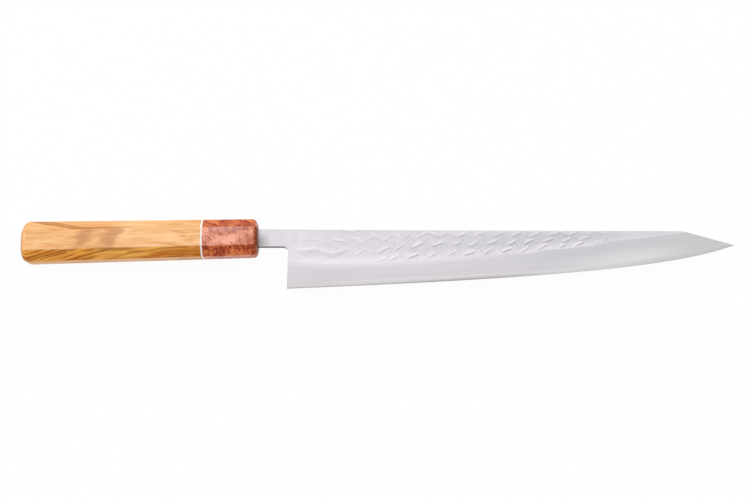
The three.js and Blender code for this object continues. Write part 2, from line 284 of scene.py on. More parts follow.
class Field:
    """A socket of a node tree. Arithmetic on fields adds Math nodes to the tree."""

    def __init__(self, socket):
        self.socket = socket

    def node(self, kind, inputs, output=0, **settings):
        """Adds a node: its settings first, then the values or links of its sockets."""
        tree = self.socket.id_data
        node = tree.nodes.new(kind)
        stops = settings.pop("stops", ())
        for setting, value in settings.items():
            setattr(node, setting, value)
        for place, (position, colour) in enumerate(stops):
            elements = node.color_ramp.elements
            stop = elements[place] if place < 2 else elements.new(position)
            stop.position = position
            stop.color = (*colour, 1)
        for key, value in inputs.items():
            if isinstance(value, Field):
                tree.links.new(value.socket, node.inputs[key])
            else:
                set_even(node.inputs[key], value)
        return Field(node.outputs[output])

    def math(self, operation, *others):
        """A Math node with this field as its first value."""
        return self.node("ShaderNodeMath", dict(enumerate((self, *others))), operation=operation)

    def vector(self, operation, *others, output=0):
        """A Vector Math node with this field as its first vector."""
        inputs = dict(enumerate((self, *others)))
        return self.node("ShaderNodeVectorMath", inputs, output, operation=operation)

    def __add__(self, other):
        return self.math("ADD", other)

    __radd__ = __add__

    def __sub__(self, other):
        return self.math("SUBTRACT", other)

    def __rsub__(self, other):
        return self.node("ShaderNodeMath", {0: other, 1: self}, operation="SUBTRACT")

    def __neg__(self):
        return 0 - self

    def __abs__(self):
        return self.math("ABSOLUTE")

    def __mul__(self, other):
        return self.math("MULTIPLY", other)

    __rmul__ = __mul__

    def __truediv__(self, other):
        return self.math("DIVIDE", other)

    def __rtruediv__(self, other):
        return self.node("ShaderNodeMath", {0: other, 1: self}, operation="DIVIDE")

    def most(self, other):
        return self.math("MAXIMUM", other)

    def least(self, other):
        return self.math("MINIMUM", other)

    def between(self, low, high):
        """A value between two, with this field as the share of the second."""
        return low + (high - low) * self

    def step(self, low, high):
        """Smooth from 0 at low to 1 at high, and level past them. Low may be the higher number."""
        return self.node(
            "ShaderNodeMapRange", {0: self, 1: low, 2: high}, interpolation_type="SMOOTHSTEP",
        )

    def parts(self):
        return [self.node("ShaderNodeSeparateXYZ", {0: self}, axis) for axis in range(3)]

    def joined(self, *others):
        return self.node("ShaderNodeCombineXYZ", dict(enumerate((self, *others))))

    def noise(self, scale, detail=2.0, roughness=0.5, distortion=0.0, output=0):
        return self.node("ShaderNodeTexNoise", {
            "Vector": self, "Scale": scale, "Detail": detail,
            "Roughness": roughness, "Distortion": distortion,
        }, output)

    def blend(self, first, second):
        """A colour between two, with this field as the share of the second."""
        return self.node("ShaderNodeMix", {0: self, 6: first, 7: second}, 2, data_type="RGBA")

    def ramp(self, *stops):
        return self.node("ShaderNodeValToRGB", {0: self}, stops=stops)

    def bump(self, strength, distance):
        inputs = {"Height": self, "Strength": strength, "Distance": distance}
        return self.node("ShaderNodeBump", inputs)

    def into(self, shader, name):
        self.socket.id_data.links.new(self.socket, shader.inputs[name])


def new_finish(name, **even):
    """A material, its shader with the values that are even all over, and its Object coordinates."""
    material = bpy.data.materials.new(name)
    material.use_nodes = True
    nodes = material.node_tree.nodes
    shader = nodes["Principled BSDF"]
    for socket, value in even.items():
        set_even(shader.inputs[socket.replace("_", " ").title().replace("Ior", "IOR")], value)
    return material, shader, Field(nodes.new("ShaderNodeTexCoord").outputs["Object"])


def on_blade(place):
    """Object coordinates from the heel, along the blade and up to the spine."""
    return place.vector("SUBTRACT", heel)


def own_value(place, name):
    """A number stored on the points of the piece."""
    return place.node("ShaderNodeAttribute", {}, "Fac", attribute_name=name)


def grain(parts, stretch, **how):
    """Noise drawn out over the parts of a place, each multiplied by its own stretch."""
    first, *others = [part * times for part, times in zip(parts, stretch)]
    return first.joined(*others).noise(1.0, **how)


def layered(colour, *layers):
    """A colour with others laid over it in turn, each in the share that a field gives."""
    for share, over in layers:
        colour = share.blend(colour, over)
    return colour


EDGE_STEEL = (0.705, 0.675, 0.690)
EDGE_TIP_LIGHT_BAND = (0.735, 0.732, 0.735)
EDGE_END_SHADE = (0.685, 0.678, 0.678)
HONED_STEEL = (0.46, 0.43, 0.435)
EDGE_SCRATCHES = (18, 5200, 40)
EDGE_BRIGHT_FROM = (0.12, 0.17)
EDGE_SHADE_FROM = (0.195, 0.235)
HONED_REACH = (0.0011, 0.0020)
HONING_WIDENS = (0.04, 0.11)
EDGE_ROUGHNESS = (0.30, 0.42)
EDGE_BUMP = (0.08, 0.0001)
core_finish, core_shader, place = new_finish("edge_steel_satin", metallic=1.0)
along, across, _ = place.parts()
height = own_value(place, "above_edge")
scratches = grain((along, height, across), EDGE_SCRATCHES, detail=3)
from_heel, _, _ = on_blade(place).parts()
near_tip = from_heel.step(*EDGE_BRIGHT_FROM)
reach = from_heel.step(*HONING_WIDENS).between(*HONED_REACH)
honed = height.step(reach, 0.0) * near_tip.between(1.0, 0.1)
# Painted light and shade: the edge is painted lighter towards the tip and painted darker again near its
# end.
edge = layered(
    EDGE_STEEL,
    (near_tip, EDGE_TIP_LIGHT_BAND),
    (from_heel.step(*EDGE_SHADE_FROM), EDGE_END_SHADE),
    (honed, HONED_STEEL),
)
edge.into(core_shader, "Base Color")
scratches.between(*EDGE_ROUGHNESS).into(core_shader, "Roughness")
scratches.bump(*EDGE_BUMP).into(core_shader, "Normal")

lamination = lamination_line()
cutting_line = edge_line + np.array((0, CUTTING_BEVEL_HEIGHT))
core_loop = closed_loop(blade_outline(edge_line), CORE_GRID)
core_creases = [lamination, cutting_line[:-CREASE_POINTS_LEFT_OFF]]
core_points = grid_points(core_loop, CORE_GRID, lambda x, y: x > -NECK_LENGTH)
core = blade_layer("core_layer", core_loop, core_creases, [
    (core_points, lambda x, y: np.minimum(ground_half(x, y), CORE_THICKNESS / 2)),
    (core_points, lambda x, y: -np.minimum(ground_half(x, y), CORE_THICKNESS / 2)),
])
add_height_above_edge(core)
core.data.materials.append(core_finish)
core.data.shade_smooth()
core.data.set_sharp_from_angle(angle=CORE_SHARP_ANGLE)
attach(core, "root")
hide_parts("core_steel")

# Claddings: the two soft outer layers of the blade, one on each face of the core. Their faces are
# left as the hammer struck them, in rows of marks with short crisp ridges and one soft wave near the
# heel, down to the line where the bevel is ground and polished. Neck and thin end stay smooth.
FACE_GRID = 0.00025
BEVEL_GRID = 0.0008
BEVEL_SHARE_STRUCK = 0.85
CORE_FACE_MARGIN = 1e-6
HAMMER_MARKS = {
    "Rows": 3,
    "Pitch": 0.0113,
    "Stagger": 0.30,
    "Rising Share": 0.58,
    "Ridge Rise": 0.0026,
    "Ridge Height": 0.00022,
    "Light Side": 0.0010,
    "Dark Side": 0.00045,
    "Wander Size": 0.013,
    "Wander Along": 0.016,
    "Wander Up": 0.0060,
    "Heel Start": 0.045,
    "Heel End": 0.080,
    "Heel Drop": 0.4,
    "Mark Depth": 0.00008,
    "Mark Size": 0.007,
    "Core Half": CORE_THICKNESS / 2 + CORE_FACE_MARGIN,
}
# The two sides: which way each faces, its name and the seed of its marks.
SIDES = ((1, "right", 3.0), (-1, "left", 8.0))
MARK_FROM = (0.003, 0.013)
CREST_STATIONS = (0.03, 0.09, 0.16)
CREST_WIDTHS = (0.0055, 0.0060, 0.0050)
RIDGE_FADES = (0.0026, 0.0018, 0.0014)
LEAST_FACE_HEIGHT = 0.003
HEEL_WAVE_FROM = (0.002, 0.007)
HEEL_WAVE_UNTIL = (0.028, 0.037)
HEEL_WAVE_ABOVE_LINE = 0.0080
HEEL_WAVE_SWAY = 0.0011
HEEL_WAVE_LENGTH = 0.0194
HEEL_WAVE_PEAK = 0.017
HEEL_WAVE_UPPER_SIDE = 0.0065
HEEL_WAVE_LIP = 0.0022
HEEL_WAVE_LIP_SHARE = 0.65
HEEL_WAVE_LOWER_SIDE = 0.0038
HEEL_TROUGH_FROM = (0.004, 0.014)
RIDGES_HIDDEN_BY_WAVE = 0.8
RIDGES_HIDDEN_BELOW = (0.0035, 0.0015)
OFF_THE_BEVEL = 2.0
CLADDING_SHARP_ANGLE = math.radians(30)


def dish(share):
    """The depth of a dish, from 0 at its rim to 1 where it is deepest."""
    return 1 - (1 - np.clip(share, 0, 1)) ** 2


def heel_wave(x, above_line, dished):
    """The soft wave near the heel: the height over its crest, its depth and where it takes over."""
    sway = HEEL_WAVE_SWAY * np.cos(2 * math.pi * (x - HEEL_WAVE_PEAK) / HEEL_WAVE_LENGTH)
    over_crest = above_line - HEEL_WAVE_ABOVE_LINE - sway
    slope = dish(over_crest / HEEL_WAVE_UPPER_SIDE)
    lip = dish(over_crest / HEEL_WAVE_LIP)
    upper = HEEL_WAVE_LIP_SHARE * lip + (1 - HEEL_WAVE_LIP_SHARE) * slope
    trough = smooth_step(-over_crest, 0, HEEL_WAVE_LOWER_SIDE) * smooth_step(x, *HEEL_TROUGH_FROM)
    depth = np.where(over_crest > 0, upper, np.minimum(trough, dished))
    return over_crest, depth, smooth_step(x, *HEEL_WAVE_FROM) * (1 - smooth_step(x, *HEEL_WAVE_UNTIL))


def ridges(given, x, y, face_height):
    """The zigzag ridges between rows of marks: their height, and the painted shadow and painted
    highlight on their two sides.
    """
    wander_place = (x / given["Wander Size"]).joined(y / given["Wander Size"], given["Seed"])
    wander_x, wander_y, _ = wander_place.noise(1.0, detail=1, output="Color").parts()
    near_heel = 1 - x.step(given["Heel Start"], given["Heel End"])
    loose = near_heel.between(0.45, 1.0)
    row_height = face_height / given["Rows"]
    down = (-y - (wander_y - 0.5) * loose * given["Wander Up"]) / row_height
    down = down - near_heel * given["Heel Drop"]
    row = down.math("FLOOR")
    in_row = (x + (wander_x - 0.5) * loose * given["Wander Along"]) / given["Pitch"]
    in_row = in_row + row * given["Stagger"]
    column = in_row.math("FLOOR")
    cell = column.joined(row, given["Seed"])
    chances = cell.node("ShaderNodeTexWhiteNoise", {"Vector": cell}, "Color", noise_dimensions="3D")
    firmness, reach, crossing = chances.parts()

    share = in_row - column
    rising = share.math("LESS_THAN", given["Rising Share"])
    climb = share / given["Rising Share"] - 0.5
    fall = 0.5 - (share - given["Rising Share"]) / (1 - given["Rising Share"])
    way = rising.between(fall, climb)
    above = (row + 0.5 - down) * row_height - way * given["Ridge Rise"]
    top_row = 1 - row.step(0.2, 0.8)
    softened = top_row.between(1.0, 0.6) * (1 - near_heel * crossing.between(0.15, 0.80))
    climbing = firmness.between(0.5, 1.0) * softened
    falling = near_heel.between(top_row * crossing.step(0.5, 0.7) * 0.6, reach * 0.7)
    strength = rising.between(falling, climbing)
    ends = abs(way).step(0.30 + 0.08 * reach + 0.12 * near_heel, near_heel.between(0.50, 0.75))
    strength = strength * (1 - ends) * (1 - abs(down - row - 0.5).step(0.40, 0.5))
    flank = (above / given["Light Side"]).most(-above / given["Dark Side"])
    lip = (-flank).math("EXPONENT") * strength
    turning = given["Dark Side"] * 0.3
    painted_ridge_shadow = lip * (-above).step(-turning, turning) * near_heel.between(1.0, 0.55)
    painted_ridge_highlight = lip * above.step(0.0, given["Dark Side"] * 0.4) * near_heel.between(0.65, 1.0)
    return lip, painted_ridge_shadow, painted_ridge_highlight


def hammer_marks():
    """A tree that strikes rows of hammer marks, with ridges between them, into a cladding."""
    tree = bpy.data.node_groups.new("hammer_marks", "GeometryNodeTree")
    kinds = {"Geometry": "Geometry", "Heel": "Vector", "Finish": "Material", "Seed": "Float"}
    kinds.update(dict.fromkeys(HAMMER_MARKS, "Float"))
    sockets = {}
    for name, kind in kinds.items():
        sockets[name] = tree.interface.new_socket(name, in_out="INPUT", socket_type="NodeSocket" + kind)
    tree.interface.new_socket("Geometry", in_out="OUTPUT", socket_type="NodeSocketGeometry")
    inputs = tree.nodes.new("NodeGroupInput").outputs
    given = {socket.name: Field(socket) for socket in inputs if socket.name}
    steel = given["Geometry"]
    struck, sunk, ground, face_height = [
        steel.node("GeometryNodeInputNamedAttribute", {"Name": name}, data_type="FLOAT")
        for name in ("struck", "sunk", "ground", "face_height")
    ]
    x, y, z = steel.node("GeometryNodeInputPosition", {}).vector("SUBTRACT", given["Heel"]).parts()
    lip, painted_ridge_shadow, painted_ridge_highlight = ridges(given, x, y, face_height)
    mark_place = (x / given["Mark Size"]).joined(y / given["Mark Size"], given["Seed"])
    dimples = mark_place.noise(1.0, detail=1)
    dent = given["Ridge Height"] * (sunk - lip * struck) + given["Mark Depth"] * dimples * sunk
    cut = dent.most(ground) - ground.most(0)
    outside = abs(z).math("GREATER_THAN", given["Core Half"])
    shift = steel.node("ShaderNodeCombineXYZ", {2: -(cut * outside * z.math("SIGN"))})
    marked = steel.node("GeometryNodeSetPosition", {"Geometry": steel, "Offset": shift})
    # The painted shadow and painted highlight of the ridges are stored on the points for the finish.
    for name, value in (("painted_ridge_shadow", painted_ridge_shadow * struck), ("painted_ridge_highlight", painted_ridge_highlight * struck)):
        marked = steel.node("GeometryNodeStoreNamedAttribute", {
            "Geometry": marked, "Name": name, "Value": value,
        }, data_type="FLOAT", domain="POINT")
    real = steel.node("GeometryNodeRealizeInstances", {"Geometry": marked})
    done = steel.node("GeometryNodeSetMaterial", {"Geometry": real, "Material": given["Finish"]})
    tree.links.new(done.socket, tree.nodes.new("NodeGroupOutput").inputs[0])
    return tree, sockets


def grown(piece, tree, sockets, values):
    """Runs a Geometry Nodes tree on a piece and keeps the result as its plain mesh."""
    modifier = piece.modifiers.new("grown", "NODES")
    modifier.node_group = tree
    for name, value in values.items():
        modifier[sockets[name].identifier] = value
    bpy.context.view_layer.update()
    evaluated = piece.evaluated_get(bpy.context.evaluated_depsgraph_get())
    mesh = bpy.data.meshes.new_from_object(evaluated)
    piece.modifiers.remove(modifier)
    piece.data = mesh


def facing(place):
    """The three parts of the direction that the surface faces."""
    return place.node("ShaderNodeTexCoord", {}, "Normal").parts()


HAMMERED_STEEL = (0.735, 0.705, 0.745)
HAMMERED_SHADE = (0.615, 0.595, 0.640)
HAMMERED_SHADED = (0.585, 0.570, 0.605)
HAMMERED_LIT = (0.800, 0.760, 0.805)
RIDGE_SHADOW = (0.330, 0.310, 0.330)
RIDGE_HIGHLIGHT = (0.880, 0.845, 0.885)
STRIP_STEEL = (0.725, 0.710, 0.745)
POLISHED_STEEL = (0.712, 0.685, 0.724)
POLISHED_SHADE = (0.678, 0.655, 0.692)
POLISHED_CREST_HIGHLIGHT = (0.785, 0.748, 0.793)
POLISHED_SHADED = (0.635, 0.622, 0.648)
LINE_HIGHLIGHT = (0.870, 0.850, 0.880)
TIP_LIGHT_BAND = (0.780, 0.777, 0.778)
END_SHADE = (0.640, 0.637, 0.637)
FORGE_SEAM = (0.800, 0.765, 0.775)
UNDERSIDE_SHADE = (0.04, 0.037, 0.035)
FERRULE_SHADE_TINT = (0.36, 0.345, 0.335)
MOTTLE_SCALE = 430.0
SKIN_SCALE = 1100.0
POLISH_SCRATCHES = (14, 4200, 30)
POLISH_BANDS = (5, 520)
SPECKLED_FROM = (0.04, 0.08)
DIM_FROM = (0.05, 0.15)
DIM_UNTIL = (0.215, 0.185)
LIT_LINE_UNTIL = (0.13, 0.07)
LIT_NECK_UNTIL = (0.03, -0.005)
STRIP_FROM = (0.185, 0.215)
CREST_HIGHLIGHT_UNTIL = (0.14, 0.08)
BEVEL_DIM_FROM = (0.13, 0.17)
TIP_FROM = (0.155, 0.205)
END_SHADE_FROM = (0.215, 0.250)
LINE_FROM = (0.12, 0.17)
SEAM_FROM = (0.005, 0.04)
SEAM_UNTIL = (0.17, 0.12)
SEAM_FOOT = (0.0022, 0.0027)
SEAM_TOP = (0.0033, 0.0028)
SEAM_SWAY = 0.0012
SEAM_WAVES = (85.0,)
CORE_SHOWS_BELOW = (0.0030, 0.0026)
FERRULE_SHADE_REACH = 0.011
FERRULE_SHADE_DROP = 0.72 * NECK_HEIGHT
NECK_TINT_UNTIL = (0.004, -0.004)
UNDERSIDE_SHADE_UNTIL = (0.001, -0.001)
STEEL_ROUGHNESS = (0.26, 0.40)
UNDERSIDE_ROUGHNESS = 0.6
STEEL_BUMP = (0.2, 0.0001)
cladding_finish, cladding_shader, place = new_finish("hammered_and_ground_steel", metallic=1.0)
along, across, _ = on_blade(place).parts()
height = own_value(place, "above_edge")
mottle = place.noise(MOTTLE_SCALE, detail=3, roughness=0.6)
skin = place.noise(SKIN_SCALE, detail=3, roughness=0.7)
scratches = grain((along, height, across), POLISH_SCRATCHES, detail=4, roughness=0.6)
bands = grain((along, height), POLISH_BANDS, detail=3)

# The hammered face, where down runs from 0 at the spine to 1 at the bevel line.
down = own_value(place, "down_face")
past_heel = along.step(*SPECKLED_FROM)
speckle = (mottle * 0.45 + skin * 0.55 - 0.5) * past_heel.between(0.5, 1.0) + 0.5
# dim is a painted shade over the middle of the face, from past the heel to near the end.
dim = down.step(0.02, 0.28) * down.step(0.95, 0.5) * along.step(*DIM_FROM) * along.step(*DIM_UNTIL)
# Painted light: the lower face by the heel, a strip just above the bevel line and the neck are painted
# lighter.
lit_heel = down.step(0.40, 1.0) * (1 - past_heel)
lit_line = down.step(0.84, 0.98) * along.step(*LIT_LINE_UNTIL) * 0.6
lit_neck = along.step(*LIT_NECK_UNTIL) * 0.7
hammered = layered(
    HAMMERED_STEEL,
    (speckle.step(0.37, 0.63), HAMMERED_SHADE),
    (dim * mottle.between(0.4, 1.0), HAMMERED_SHADED),
    (lit_heel.most(lit_line).most(lit_neck) * 0.5, HAMMERED_LIT),
    (along.step(*STRIP_FROM) * 0.7, STRIP_STEEL),
    # Painted shadow on the lower side of each ridge and painted highlight on its upper side.
    (own_value(place, "painted_ridge_shadow") * 0.65, RIDGE_SHADOW),
    (own_value(place, "painted_ridge_highlight") * 0.9, RIDGE_HIGHLIGHT),
)

# The ground bevel, where rise runs from 0 at its foot to 1 at its line, and the wavy forge seam on it.
rise = own_value(place, "up_bevel")
seam_height = height + (grain((along,), SEAM_WAVES, detail=2) - 0.5) * SEAM_SWAY
seam = seam_height.step(*SEAM_FOOT) * seam_height.step(*SEAM_TOP) * along.step(*SEAM_FROM)
short_of_tip = along.step(*SEAM_UNTIL)
ground = layered(
    POLISHED_STEEL,
    ((bands * 0.6 + scratches * 0.4).step(0.35, 0.65), POLISHED_SHADE),
    # Painted highlight on the top of the bevel near the heel.
    (rise.step(0.72, 1.0) * along.step(*CREST_HIGHLIGHT_UNTIL), POLISHED_CREST_HIGHLIGHT),
    # Painted shade on the upper half of the bevel towards the tip.
    (rise.step(0.30, 0.75) * along.step(*BEVEL_DIM_FROM) * 0.9, POLISHED_SHADED),
    # Painted light low on the bevel near the tip, and painted shade near the blade's end.
    (rise.step(0.80, 0.20) * along.step(*TIP_FROM), TIP_LIGHT_BAND),
    (along.step(*END_SHADE_FROM) * 0.8, END_SHADE),
    (seam_height.step(*CORE_SHOWS_BELOW) * short_of_tip, EDGE_STEEL),
    (seam * short_of_tip * 0.8, FORGE_SEAM),
)
polished = rise.step(1.03, 0.98)
# A painted highlight along the bevel line.
bright_line = rise.step(0.97, 1.01) * rise.step(1.07, 1.02) * along.step(*LINE_FROM)

# The neck, with painted shade beside the ferrule and painted shade along its underside, which is also
# left rougher.
low_on_neck = across.step(0.0, -FERRULE_SHADE_DROP)
ferrule_shade = along.step(FERRULE_SHADE_REACH - NECK_LENGTH, -NECK_LENGTH) * low_on_neck.between(0.02, 0.90)
ferrule_shade = ferrule_shade.most(along.step(*NECK_TINT_UNTIL) * 0.12)
_, facing_spine, _ = facing(place)
# Painted shade along the neck's underside, which is also left rougher.
shaded_underside = (-facing_spine).step(0.4, 0.8) * along.step(*UNDERSIDE_SHADE_UNTIL)
steel = layered(
    hammered,
    (polished, ground),
    (bright_line * 0.3, LINE_HIGHLIGHT),
    (ferrule_shade, FERRULE_SHADE_TINT),
    (shaded_underside, UNDERSIDE_SHADE),
)
steel.into(cladding_shader, "Base Color")
texture = polished.between(skin, scratches)
(texture.between(*STEEL_ROUGHNESS) + shaded_underside * UNDERSIDE_ROUGHNESS).into(cladding_shader, "Roughness")
polished.between(skin, scratches * 0.25).bump(*STEEL_BUMP).into(cladding_shader, "Normal")


def is_struck(x, y):
    return (x > 0) & (bevel_rise(x, y) > BEVEL_SHARE_STRUCK)


def is_smooth(x, y):
    return (x > -NECK_LENGTH) & ((x < 0) | (bevel_rise(x, y) < BEVEL_SHARE_STRUCK))


def outer_half(x, y):
    return np.minimum(half_thickness(x), ground_half(x, y))


marks_tree, marks_sockets = hammer_marks()
face_loop = closed_loop(blade_outline(lamination), FACE_GRID)
struck_points = grid_points(face_loop, FACE_GRID, is_struck)
smooth_points = grid_points(face_loop, BEVEL_GRID, is_smooth)
face_points = np.vstack([struck_points, smooth_points])
no_points = np.empty((0, 2))
for side, name, seed in SIDES:
    outer = (face_points, lambda x, y, side=side: side * outer_half(x, y))
    inner = (no_points, lambda x, y, side=side: np.full_like(x, side * CORE_THICKNESS / 2))
    faces = [outer, inner] if side > 0 else [inner, outer]
    cladding = blade_layer("hammered_cladding_" + name, face_loop, [], faces)
    x, y = add_height_above_edge(cladding)
    line_drop = -np.interp(x, *edge_line.T) - bevel_top(x)
    face_height = np.maximum(line_drop, LEAST_FACE_HEIGHT)
    above_line = line_drop + y
    struck = smooth_step(x, *MARK_FROM) * (1 - smooth_step(x, *MARK_UNTIL))
    dished = dish(above_line / np.interp(x, CREST_STATIONS, CREST_WIDTHS))
    over_crest, wave, on_wave = heel_wave(x, above_line, dished)
    shown = smooth_step(above_line / np.interp(x, CREST_STATIONS, RIDGE_FADES), 0, 1)
    hidden = RIDGES_HIDDEN_BY_WAVE * on_wave * smooth_step(over_crest, *RIDGES_HIDDEN_BELOW)
    store(cladding.data, "struck", struck * shown * (1 - hidden))
    store(cladding.data, "sunk", struck * dished + (wave - struck * dished) * on_wave)
    store(cladding.data, "ground", half_thickness(x) - ground_half(x, y))
    store(cladding.data, "face_height", face_height)
    store(cladding.data, "down_face", -y / face_height)
    store(cladding.data, "up_bevel", np.where(x > 0, bevel_rise(x, y), OFF_THE_BEVEL))
    grown(cladding, marks_tree, marks_sockets, {
        "Heel": heel, "Finish": cladding_finish, "Seed": seed, **HAMMER_MARKS,
    })
    cladding.data.shade_smooth()
    cladding.data.set_sharp_from_angle(angle=CLADDING_SHARP_ANGLE)
    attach(cladding, "root")
    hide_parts("cladding_" + name)

# Dowel and tang bedding: the round hardwood pin that joins ferrule, spacer and body, sawn down its
# length for the tang, and the cured adhesive that beds the tang in the kerf. Both are hidden in
# the handle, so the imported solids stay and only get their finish.
DOWEL_WOOD = ((0.0, (0.34, 0.20, 0.10)), (0.5, (0.45, 0.29, 0.15)), (1.0, (0.55, 0.37, 0.21)))
DOWEL_FIBRES = (30, 900, 900)
DOWEL_BUMP = (0.2, 0.0002)
ADHESIVE = ((0.0, (0.10, 0.065, 0.035)), (1.0, (0.20, 0.145, 0.085)))
ADHESIVE_CLOUD_SCALE = 260.0
ADHESIVE_BUMP = (0.15, 0.0003)
dowel_finish, dowel_shader, place = new_finish("plain_hardwood", roughness=0.7)
fibres = grain(place.parts(), DOWEL_FIBRES, detail=4)
fibres.ramp(*DOWEL_WOOD).into(dowel_shader, "Base Color")
fibres.bump(*DOWEL_BUMP).into(dowel_shader, "Normal")

bedding_finish, bedding_shader, place = new_finish("cured_adhesive", roughness=0.45)
clouds = place.noise(ADHESIVE_CLOUD_SCALE, detail=3)
clouds.ramp(*ADHESIVE).into(bedding_shader, "Base Color")
clouds.bump(*ADHESIVE_BUMP).into(bedding_shader, "Normal")

for node, finish in (("dowel", dowel_finish), ("tang_bedding", bedding_finish)):
    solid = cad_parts[node].data
    solid.materials.clear()
    solid.materials.append(finish)

# Ferrule: an octagonal block of red burl on the front of the handle, bored for the dowel from behind
# and slotted for the neck in front. Its front is rounded over and its corners are eased by sanding.
FERRULE_LENGTH = 0.0326
FRONT_HEIGHT = 0.0222
BUTT_HEIGHT = 0.0248
HANDLE_WIDTH = 0.019
HANDLE_LENGTH = 0.1421
CHAMFER_FRONT_HEIGHT = 0.0054
CHAMFER_BUTT_HEIGHT = 0.0062
CHAMFER_WIDTH = 0.005
CORNER_EASE = 0.0007
CORNER_STEPS = 4
FLAT_SPOTS = (0.04, 0.5, 0.96)
FERRULE_DOME_LENGTH = 0.003
FERRULE_DOME_INSET = 0.0038
DOME_STEPS = 14
MOUTH_GAP = 0.0004
BORE_DIAMETER = 0.0136
HANDLE_SHARP_ANGLE = math.radians(35)


def octagon(behind, inset=0.0):
    """One eased octagon across the handle, drawn in evenly by an inset, as points (y, z)."""
    height = np.interp(behind, (0, HANDLE_LENGTH), (FRONT_HEIGHT, BUTT_HEIGHT)) / 2 - inset
    width = HANDLE_WIDTH / 2 - inset
    leg = np.interp(behind, (0, HANDLE_LENGTH), (CHAMFER_FRONT_HEIGHT, CHAMFER_BUTT_HEIGHT))
    shrink = 1 - inset * (1 / leg + 1 / CHAMFER_WIDTH - math.hypot(1 / leg, 1 / CHAMFER_WIDTH))
    y, z = height - leg * shrink, width - CHAMFER_WIDTH * shrink
    corners = [Vector(corner) for corner in (
        (height, z), (y, width), (-y, width), (-height, z),
        (-height, -z), (-y, -width), (y, -width), (height, -z),
    )]
    ring = []
    for last, corner, following in zip(corners[-1:] + corners[:-1], corners, corners[1:] + corners[:1]):
        start = corner + (last - corner).normalized() * CORNER_EASE
        end = corner + (following - corner).normalized() * CORNER_EASE
        for step in range(CORNER_STEPS + 1):
            share = step / CORNER_STEPS
            ring.append(start.lerp(corner, share).lerp(corner.lerp(end, share), share))
        far = following + (corner - following).normalized() * CORNER_EASE
        ring += [end.lerp(far, spot) for spot in FLAT_SPOTS]
    return ring


RING_COUNT = len(octagon(0.0))
SIDE_COUNT = RING_COUNT // 8
CHAMFER_MIDDLE = CORNER_STEPS + 1 + len(FLAT_SPOTS) // 2


def quarter_shares():
    """For each point of an octagon ring, its side of the slot and its share of the way along it."""
    quarter = RING_COUNT // 4
    places = [divmod((point - CHAMFER_MIDDLE) % RING_COUNT, quarter) for point in range(RING_COUNT)]
    return [(side, step / quarter) for side, step in places]


def slot_ring(height, width):
    """A rectangle as points (y, z) that line up with an octagon's."""
    corners = [Vector(corner) for corner in (
        (height / 2, width / 2), (-height / 2, width / 2),
        (-height / 2, -width / 2), (height / 2, -width / 2),
    )]
    return [corners[side].lerp(corners[(side + 1) % 4], share) for side, share in quarter_shares()]


def round_ring(diameter):
    """A circle as points (y, z) that line up with an octagon's."""
    turns = [math.pi / 2 * (0.5 + side + share) for side, share in quarter_shares()]
    return [Vector((math.cos(turn), math.sin(turn))) * diameter / 2 for turn in turns]


def dome(end, length, inset):
    """The octagons of a rounded end, from the end face to the full section."""
    rings = []
    for step in range(DOME_STEPS + 1):
        turn = math.pi / 2 * step / DOME_STEPS
        behind = end + length * (1 - math.cos(turn))
        rings.append((behind, octagon(behind, inset * (1 - math.sin(turn)))))
    return rings


def on_chamfer(spot):
    """Whether a point of an octagon ring is on a slanted side, which every other side is."""
    side, step = divmod(spot, SIDE_COUNT)
    past_corner = step > CORNER_STEPS // 2
    return past_corner == (side % 2 == 0)


def handle_piece(name, rings, capped=False):
    """A body skinned over rings (distance behind the mouth, points), closed on itself or capped."""
    turn = Matrix.Rotation(HANDLE_DROOP, 3, "Z")
    start = heel + Vector((*mouth, 0))
    points = [start + turn @ Vector((-behind, y, z)) for behind, ring in rings for y, z in ring]
    faces = []
    for row in range(len(rings) - 1 if capped else len(rings)):
        first, second = row * RING_COUNT, (row + 1) % len(rings) * RING_COUNT
        for spot in range(RING_COUNT):
            after = (spot + 1) % RING_COUNT
            faces.append((first + spot, first + after, second + after, second + spot))
    if capped:
        faces.append(tuple(reversed(range(RING_COUNT))))
        faces.append(tuple(range(len(points) - RING_COUNT, len(points))))
    mesh = bpy.data.meshes.new(name)
    mesh.from_pydata(points, [], faces)
    whole = bmesh.new()
    whole.from_mesh(mesh)
    bmesh.ops.recalc_face_normals(whole, faces=whole.faces)
    whole.to_mesh(mesh)
    whole.free()
    store(mesh, "slanted", [float(on_chamfer(spot)) for spot in range(RING_COUNT)] * len(rings))
    mesh.shade_smooth()
    mesh.set_sharp_from_angle(angle=HANDLE_SHARP_ANGLE)
    return placed(name, mesh)


def along_handle(place):
    """Object coordinates turned to the handle: back from the mouth along -X, up along +Y."""
    return place.node("ShaderNodeMapping", {
        "Vector": place, "Location": heel + Vector((*mouth, 0)), "Rotation": (0, 0, HANDLE_DROOP),
    }, vector_type="TEXTURE")


BURL_DARK = (0.23, 0.025, 0.008)
BURL_RED = (0.60, 0.105, 0.026)
BURL_ORANGE = (0.86, 0.262, 0.088)
BURL_ROSE = (0.52, 0.150, 0.090)
BURL_PALE = (0.96, 0.45, 0.31)
BURL_MAUVE = (0.54, 0.25, 0.22)
BURL_NECK_SHADOW = (0.20, 0.035, 0.015)
BURL_FRONT = (0.42, 0.12, 0.06)
BURL_SHEEN = (0.61, 0.39, 0.30)
BURL_CLOUD_SCALE = 110.0
BURL_CURL_SCALE = 330.0
BURL_PORE_SCALE = 1450.0
BURL_THREADS = (260, 1200, 700)
BURL_ROUGHNESS = (0.34, 0.54)
BURL_BUMP = (0.1, 0.0001)
PALE_EYE = (-0.0165, -0.002, 0.0095)
PALE_EYE_STRETCH = (140.0, 220.0, 160.0)
DARK_CHAMFER_UP = (0.002, 0.006)
MAUVE_UP = (0.0005, 0.0045)
MAUVE_BEHIND = (-0.007, -0.012)
BESIDE_NECK = (0.0070, 0.0052)
